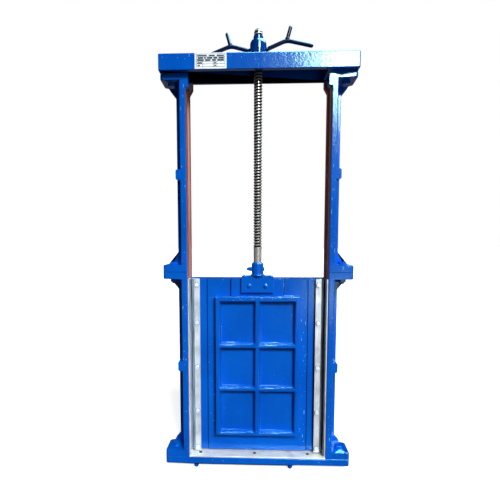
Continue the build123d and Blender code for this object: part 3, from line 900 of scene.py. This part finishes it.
# pin: driven through the collar, its tail spread to a blunt point
pinLow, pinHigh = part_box("spindle_pin")
pin = dict(
    shankMm=4.5, headMm=7.0, headTallMm=5.5, edgeMm=1.2, steps=24,
    tailMm=((0, 0), (2.0, 0.3), (3.2, 1.6), (4.9, 4.5), (6.3, 8.1), (7.0, 11.7), (7.0, 18.5)))
longMm = (pinHigh.x - pinLow.x) / mm
headR, headAt, edge = pin["headMm"], longMm - pin["headTallMm"], pin["edgeMm"]
pinOutline = list(pin["tailMm"]) + [
    (pin["shankMm"], pin["tailMm"][-1][1]), (pin["shankMm"], headAt), (headR, headAt),
    (headR, longMm - edge), (headR - edge, longMm), (0, longMm)]
pinAt = Vector((pinLow.x, (pinLow.y + pinHigh.y) / 2, (pinLow.z + pinHigh.z) / 2))
bm = bmesh.new()
lathe(bm, pinOutline, pinAt, Vector((1, 0, 0)), pin["steps"])
keepPiece("spindle_pin_driven", bm, "castBlue", "gate", ["spindle_pin"])
print("bracket fastenings made")

# spindle: plain end, right-hand trapezoidal thread, domed tip
bendDeg = 15  # step of a turned rounding, which takes a quarter turn
screw = dict(
    pitchMm=10.0, deepMm=3.0, plainMm=100.0, domeMm=10.0, edgeMm=0.6, steps=40, weldMm=0.02, endWeldMm=0.05,
    smoothDeg=35)
screwShape = ((0.0, 1.0), (0.34, 1.0), (0.5, 0.0), (0.84, 0.0))  # share of a pitch, share of the depth


def spindleThread():
    bm = bmesh.new()
    root = spindleR - screw["deepMm"] * mm
    pitch = screw["pitchMm"] * mm
    start = spindleLow.z + screw["plainMm"] * mm
    end = spindleHigh.z - screw["domeMm"] * mm
    turns = math.ceil((end - start) / pitch) + 1
    angles = [2 * math.pi * k / screw["steps"] for k in range(screw["steps"] + 1)]
    middle = Vector((axisAt.x, axisAt.y, 0))
    rows = []
    for n in range(-1, turns):
        for share, proud in screwShape:
            row = []
            for a in angles:
                z = start + (n + share + a / (2 * math.pi)) * pitch
                radius = root + (spindleR - root) * proud
                if z <= start or z >= end:
                    radius = spindleR - (screw["edgeMm"] * mm if z >= end else 0)
                z = min(max(z, start), end)
                row.append(bm.verts.new(middle + Vector((radius * math.cos(a), radius * math.sin(a), z))))
            rows.append(row)
    for low, high in zip(rows, rows[1:]):
        for k in range(screw["steps"]):
            bm.faces.new((low[k], low[k + 1], high[k + 1], high[k]))
    bmesh.ops.remove_doubles(bm, verts=bm.verts, dist=screw["weldMm"] * mm)
    outerMm = spindleR / mm
    foot = Vector((axisAt.x, axisAt.y, spindleLow.z))
    lathe(bm, [(0, 0), (outerMm, 0), (outerMm, screw["plainMm"])], foot, up, screw["steps"])
    tipMm, domeMm = outerMm - screw["edgeMm"], screw["domeMm"]
    bend = [math.radians(deg) for deg in range(0, 90, bendDeg)]
    tip = [(tipMm - domeMm * (1 - math.cos(a)), domeMm * math.sin(a)) for a in bend]
    lathe(bm, tip + [(0, domeMm)], Vector((axisAt.x, axisAt.y, end)), up, screw["steps"])
    bmesh.ops.remove_doubles(bm, verts=bm.verts, dist=screw["endWeldMm"] * mm)
    bmesh.ops.dissolve_degenerate(bm, dist=screw["weldMm"] * mm, edges=bm.edges)
    return bm


keepPiece(
    "spindle_threaded", spindleThread(), "spindle", "gate", ["spindle"], screw["smoothDeg"])
print("spindle threaded")

# lift nut: hub with a round shoulder and a thin lip on top, its neck down through the yoke
nutLow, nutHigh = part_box("lift_nut")
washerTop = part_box("thrust_washer")[1].z
hub = dict(
    wideMm=28.0, neckMm=20.0, topMm=16.5, playMm=0.3, shoulderMm=16.0, lipMm=12.0, runMm=0.5, edgeMm=1.5,
    lipEdgeMm=0.5, steps=48)
bore = spindleR / mm + hub["playMm"]
neckEnd = (washerTop - nutLow.z) / mm + hub["runMm"]
allTall = (nutHigh.z - nutLow.z) / mm
shoulderAt = allTall - hub["shoulderMm"] - hub["lipMm"]
wide, neck, top, edge = hub["wideMm"], hub["neckMm"], hub["topMm"], hub["edgeMm"]
bend = [math.radians(deg) for deg in range(0, 91, bendDeg)]
shoulder = [(top + (wide - top) * math.cos(a), shoulderAt + hub["shoulderMm"] * math.sin(a)) for a in bend]
below = [(bore, 0), (neck, 0), (neck, neckEnd), (wide - edge, neckEnd), (wide, neckEnd + edge)]
edge = hub["lipEdgeMm"]
lip = [
    (top, allTall - edge), (top - edge, allTall), (bore + edge, allTall), (bore, allTall - edge), (bore, 0)]
bm = bmesh.new()
lathe(bm, below + shoulder + lip, Vector((axisAt.x, axisAt.y, nutLow.z)), up, hub["steps"])
bmesh.ops.remove_doubles(bm, verts=bm.verts, dist=form["weldMm"] * mm)
keepPiece("lift_nut_hub", bm, "hubBlue", "handle", ["lift_nut"])

# handle arms: round bar bent at the fork, with a welded grip that leans outward
arm = dict(
    rodMm=6.5, turnDeg=-9.0, rootMm=(22.0, 30.0), forkMm=(96.0, 55.0), tipMm=(184.0, 28.5),
    gripMm=(110.0, 100.0), bendMm=16.0, bendSteps=4, gripShare=0.96, weldShare=0.85, gripBeadMm=2.6,
    rootBeadMm=3.0, gripBeadAtMm=7.5, rootBeadAtMm=9.0, gripSeed=5, rootSeed=9)
armWeld = dict(points=8, rough=(0.8, 1.1), steps=24)
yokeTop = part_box("yoke_beam")[1].z


def armPoint(side, along):
    spot = Vector((sides[side] * along[0] * mm, 0, along[1] * mm))
    turn = Matrix.Rotation(math.radians(arm["turnDeg"]), 4, "Z")
    return Matrix.Translation((axisAt.x, axisAt.y, yokeTop)) @ (turn @ spot)


def weldBead(bm, at, axis, beadMm, seed):
    draw = random.Random(seed)
    radius = arm["rodMm"] * arm["weldShare"]
    outline = []
    for k in range(armWeld["points"] + 1):
        a = math.pi * k / armWeld["points"]
        lump = beadMm * math.sin(a) * draw.uniform(*armWeld["rough"])
        outline.append((radius + lump, -beadMm * math.cos(a)))
    lathe(bm, outline, at, axis, armWeld["steps"])


for seed, side in enumerate(sides):
    root, fork, tip, grip = [armPoint(side, arm[key]) for key in ("rootMm", "forkMm", "tipMm", "gripMm")]
    short = arm["rodMm"] * mm
    tip = tip - (tip - fork).normalized() * short
    grip = grip - (grip - fork).normalized() * short
    before = fork + (root - fork).normalized() * arm["bendMm"] * mm
    after = fork + (tip - fork).normalized() * arm["bendMm"] * mm
    shares = [k / arm["bendSteps"] for k in range(arm["bendSteps"] + 1)]
    bend = [before.lerp(fork, t).lerp(fork.lerp(after, t), t) for t in shares]
    middle = bend[len(bend) // 2]
    bm = bmesh.new()
    path = [root, root.lerp(before, 0.5)] + bend + [after.lerp(tip, 0.5), tip]
    sweep(bm, path, [arm["rodMm"]] * len(path))
    gripPath = [middle, middle.lerp(grip, 0.5), grip]
    sweep(bm, gripPath, [arm["rodMm"] * arm["gripShare"]] * len(gripPath))
    rise = (grip - middle).normalized()
    out = (fork - root).normalized()
    weldBead(bm, middle + rise * arm["gripBeadAtMm"] * mm, rise, arm["gripBeadMm"], seed + arm["gripSeed"])
    weldBead(bm, root + out * arm["rootBeadAtMm"] * mm, out, arm["rootBeadMm"], seed + arm["rootSeed"])
    keepPiece(f"{side}_arm_bar", bm, "navy", "handle", [f"{side}_arm"])
print("handle made")

# nameplate: blank ruled table with four rivets
label = dict(
    plateMm=0.55, lineMm=1.5, inkMm=0.12, insetMm=3.0, rimMm=4.0, edgeMm=0.2, edgeSteps=1, rivetSteps=16,
    rivetMm=((0, 0), (1.6, 0), (1.5, 0.2), (1.0, 0.36), (0, 0.42)))
ruled = dict(
    rowsMm=(5.0, 14.0, 22.0, 29.0, 36.0, 45.0), columnsMm=(26.0, 60.0, 72.0), columnTopMm=22.0,
    blockTallMm=4.4, blocksMm=(  # from, to, foot
        (8.0, 30.0, 24.2), (74.0, 96.0, 24.2), (10.0, 28.0, 31.2), (40.0, 58.0, 31.2), (78.0, 96.0, 31.2),
        (8.0, 40.0, 38.6), (46.0, 66.0, 38.6), (72.0, 96.0, 38.6), (9.0, 17.0, 7.6), (34.0, 52.0, 24.2),
        (57.0, 70.0, 24.2), (31.0, 37.0, 31.2), (61.0, 74.0, 31.2), (8.0, 24.0, 16.0), (63.0, 70.0, 16.0),
        (63.0, 70.0, 7.6)))
plateLow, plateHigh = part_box("nameplate")
plateFront = plateHigh.y - label["plateMm"] * mm
inkFront = plateFront - label["inkMm"] * mm


def slab(bm, x0, x1, y0, y1, z0, z1):
    made = bmesh.ops.create_cube(bm, size=1.0)["verts"]
    low = Vector((x0, y0, z0))
    span = Vector((x1 - x0, y1 - y0, z1 - z0))
    for v in made:
        v.co = low + (v.co + Vector((0.5, 0.5, 0.5))) * span


def printBlock(bm, x0, x1, z0, z1):
    slab(bm, x0, x1, inkFront, plateFront, z0, z1)


bm = bmesh.new()
slab(bm, plateLow.x, plateHigh.x, plateFront, plateHigh.y, plateLow.z, plateHigh.z)
roundEdges(bm, label["edgeSteps"], lambda edge: label["edgeMm"])
for x, inX in ((plateLow.x, 1), (plateHigh.x, -1)):
    for z, inZ in ((plateLow.z, 1), (plateHigh.z, -1)):
        seat = Vector((x, plateFront, z)) + Vector((inX, 0, inZ)) * label["insetMm"] * mm
        lathe(bm, label["rivetMm"], seat, toFront, label["rivetSteps"])
keepPiece("nameplate_sheet", bm, "plate", "frame", ["nameplate"])
bm = bmesh.new()
left, bottom = plateLow.x, plateLow.z
line = label["lineMm"] * mm
tableLeft, tableRight = left + label["rimMm"] * mm, plateHigh.x - label["rimMm"] * mm
tableLow, tableHigh = bottom + ruled["rowsMm"][0] * mm, bottom + ruled["rowsMm"][-1] * mm
for row in ruled["rowsMm"]:
    printBlock(bm, tableLeft, tableRight, bottom + row * mm, bottom + row * mm + line)
for x in (tableLeft, tableRight - line):
    printBlock(bm, x, x + line, tableLow, tableHigh)
for column in ruled["columnsMm"]:
    x = left + column * mm
    printBlock(bm, x, x + line, tableLow, bottom + ruled["columnTopMm"] * mm)
for x0, x1, z in ruled["blocksMm"]:
    printBlock(bm, left + x0 * mm, left + x1 * mm, bottom + z * mm, bottom + (z + ruled["blockTallMm"]) * mm)
keepPiece("nameplate_rules", bm, "ink", "frame")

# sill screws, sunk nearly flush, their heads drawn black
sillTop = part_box("sill_plate")[1].z
sillScrew = dict(
    placesMm=(-207, -9, 184), inMm=-72, steps=20,
    outlineMm=((0, -0.6), (6.0, -0.6), (6.0, 0.4), (5.0, 1.2), (2.6, 1.7), (2.2, 0.4), (0, 0.4)))
bm = bmesh.new()
for x in sillScrew["placesMm"]:
    seat = Vector((x * mm, sillScrew["inMm"] * mm, sillTop))
    lathe(bm, sillScrew["outlineMm"], seat, up, sillScrew["steps"])
keepPiece("sill_screws", bm, "ink", "frame")
print("small pieces made")

# camera where the photograph was taken from
view = dict(
    atMm=(-10.9, -1374.3, 769.9), yawRad=0.0357, pitchRad=0.0791, focalPx=370.0, imagePx=500.0,
    centrePx=(241.25, 273.19), sensorMm=36.0)
camera = bpy.data.cameras.new("photoCamera")
camera.sensor_width = view["sensorMm"]
camera.lens = view["sensorMm"] * view["focalPx"] / view["imagePx"]
camera.shift_x = (view["imagePx"] / 2 - view["centrePx"][0]) / view["imagePx"]
camera.shift_y = (view["centrePx"][1] - view["imagePx"] / 2) / view["imagePx"]
cameraAt = bpy.data.objects.new("photoCamera", camera)
cameraAt.location = Vector(view["atMm"]) * mm
cameraAt.rotation_euler = (math.pi / 2 - view["pitchRad"], 0, view["yawRad"])
bpy.context.scene.collection.objects.link(cameraAt)
bpy.context.scene.camera = cameraAt

# studio, in metres: the key shades from the upper right front and its glint, lower, shows in gloss alone
# a strip and a low glow at the right are mirrored by the flanks, and a soft rear lamp fills the back
farLamps = {
    "softKey": dict(way=(0.46, -1.0, 0.86), power=4.15, softDeg=18.0, hidden="visible_glossy"),
    "keyGlint": dict(way=(0.31, -1.0, 0.5), power=3.5, softDeg=16.0, hidden="visible_diffuse"),
    "rearFill": dict(way=(-0.4, 1.0, 0.2), power=1.4, softDeg=40.0, hidden="visible_glossy"),
}
softBoxes = {
    "sideStrip": dict(at=(1.45, -2.75, 1.0), size=(0.4, 2.4), level=2.5),
    "lowGlow": dict(at=(0.84, -2.75, 0.2), size=(0.62, 0.46), level=3.2),
}


def setLamp(name, lamp, way):
    stand = bpy.data.objects.new(name, lamp)
    stand.rotation_euler = Vector(way).to_track_quat("Z", "Y").to_euler()
    bpy.context.scene.collection.objects.link(stand)
    return stand


for name, make in farLamps.items():
    lamp = bpy.data.lights.new(name, "SUN")
    lamp.energy = make["power"]
    lamp.angle = math.radians(make["softDeg"])
    setattr(setLamp(name, lamp, make["way"]), make["hidden"], False)
for name, make in softBoxes.items():
    lamp = bpy.data.lights.new(name, "AREA")
    lamp.shape = "RECTANGLE"
    lamp.size, lamp.size_y = make["size"]
    lamp.energy = make["level"] * math.pi * lamp.size * lamp.size_y
    facing = Vector(make["at"]) - Vector((0, axisAt.y, make["at"][2]))
    setLamp(name, lamp, facing).location = make["at"]

# the room is white to the camera and behind the object, and dim on the side the camera stands on
room = dict(
    fill=0.08, dimSide=0.04, mirror=0.15, sky="#A4E6FF", skyLevel=30.0, skyLean=(0.8, -0.25, 1),
    floorPaint="#F2F2F0", floorGlow=0.74, floorBounce="#343434", floorHalf=60.0, floorDropMm=0.5)
white = (1, 1, 1, 1)


def seenShare(tree, ray, mirrorLevel):
    # all of it to the camera, less of it in gloss
    mirrored = addNode(
        tree, "Math", {"operation": "MULTIPLY"}, {0: ray.outputs["Is Glossy Ray"], 1: mirrorLevel.outputs[0]})
    through = addNode(
        tree, "Math", {"operation": "MAXIMUM"},
        {0: ray.outputs["Is Camera Ray"], 1: ray.outputs["Is Transmission Ray"]})
    return addNode(tree, "Math", {"operation": "MAXIMUM"}, {0: mirrored.outputs[0], 1: through.outputs[0]})


world = bpy.data.worlds.new("paleRoom")
bpy.context.scene.world = world
world.use_nodes = True
tree = world.node_tree
ray = addNode(tree, "LightPath")
way = addNode(tree, "TexCoord")
axes = addNode(tree, "SeparateXYZ", None, {0: way.outputs["Generated"]})
behind = addNode(
    tree, "MapRange",
    {"From Min": -0.1, "From Max": 0.5, "To Min": room["dimSide"], "To Max": room["mirror"]},
    {"Value": axes.outputs[1]})
below = addNode(
    tree, "MapRange", {"From Min": 0.55, "From Max": 0.3, "To Min": room["dimSide"]},
    {"Value": axes.outputs[2]})
backdrop = addNode(tree, "Math", {"operation": "MULTIPLY"}, {0: behind.outputs[0], 1: below.outputs[0]})
lean = addNode(
    tree, "VectorMath", {"operation": "DOT_PRODUCT", 1: room["skyLean"]}, {0: way.outputs["Generated"]})
high = addNode(
    tree, "MapRange", {"From Min": 0.9, "From Max": 1.05, "To Max": room["skyLevel"]},
    {"Value": lean.outputs["Value"]})
above = addNode(tree, "MapRange", {"From Min": 0.5, "From Max": 0.7}, {"Value": axes.outputs[2]})
overhead = addNode(tree, "Math", {"operation": "MULTIPLY"}, {0: high.outputs[0], 1: above.outputs[0]})
around = addNode(tree, "Math", {"operation": "MAXIMUM"}, {0: backdrop.outputs[0], 1: overhead.outputs[0]})
tint = addNode(
    tree, "Mix", {"data_type": "RGBA", 6: white, 7: linear(room["sky"])}, {0: ray.outputs["Is Glossy Ray"]})
shown = seenShare(tree, ray, around)
diffuse = addNode(
    tree, "Math", {"operation": "MULTIPLY", 1: room["fill"]}, {0: ray.outputs["Is Diffuse Ray"]})
level = addNode(tree, "Math", {"operation": "MAXIMUM"}, {0: shown.outputs[0], 1: diffuse.outputs[0]})
feed(tree, tree.nodes["Background"], {"Color": tint.outputs[2], "Strength": level.outputs[0]})

# the floor is as white as the room to the camera, keeps the shadow and throws little light back up
floorMesh = bpy.data.meshes.new("floor")
bm = bmesh.new()
floorAt = Matrix.Translation((0, 0, cadBox[0].z - room["floorDropMm"] * mm))
bmesh.ops.create_grid(bm, x_segments=1, y_segments=1, size=room["floorHalf"], matrix=floorAt)
bm.to_mesh(floorMesh)
bm.free()
floor = bpy.data.objects.new("floor", floorMesh)
bpy.context.scene.collection.objects.link(floor)
paint = bpy.data.materials.new("paleFloorPaint")
paint.use_nodes = True
tree = paint.node_tree
tree.nodes.clear()
ray = addNode(tree, "LightPath")
way = addNode(tree, "TexCoord")
axes = addNode(tree, "SeparateXYZ", None, {0: way.outputs["Object"]})
behind = addNode(
    tree, "MapRange", {"From Min": 0.0, "From Max": 2.0, "To Min": room["dimSide"], "To Max": room["mirror"]},
    {"Value": axes.outputs[1]})
shown = seenShare(tree, ray, behind)
dim = addNode(tree, "BsdfDiffuse", {"Color": linear(room["floorBounce"])})
pale = addNode(tree, "BsdfDiffuse", {"Color": linear(room["floorPaint"])})
glow = addNode(tree, "Emission", {"Color": white, "Strength": room["floorGlow"]})
lit = addNode(tree, "AddShader", None, {0: pale.outputs[0], 1: glow.outputs[0]})
either = addNode(tree, "MixShader", None, {0: shown.outputs[0], 1: dim.outputs[0], 2: lit.outputs[0]})
addNode(tree, "OutputMaterial", None, {"Surface": either.outputs[0]})
floorMesh.materials.append(paint)
bpy.context.scene.view_settings.view_transform = "Standard"
print("studio set")
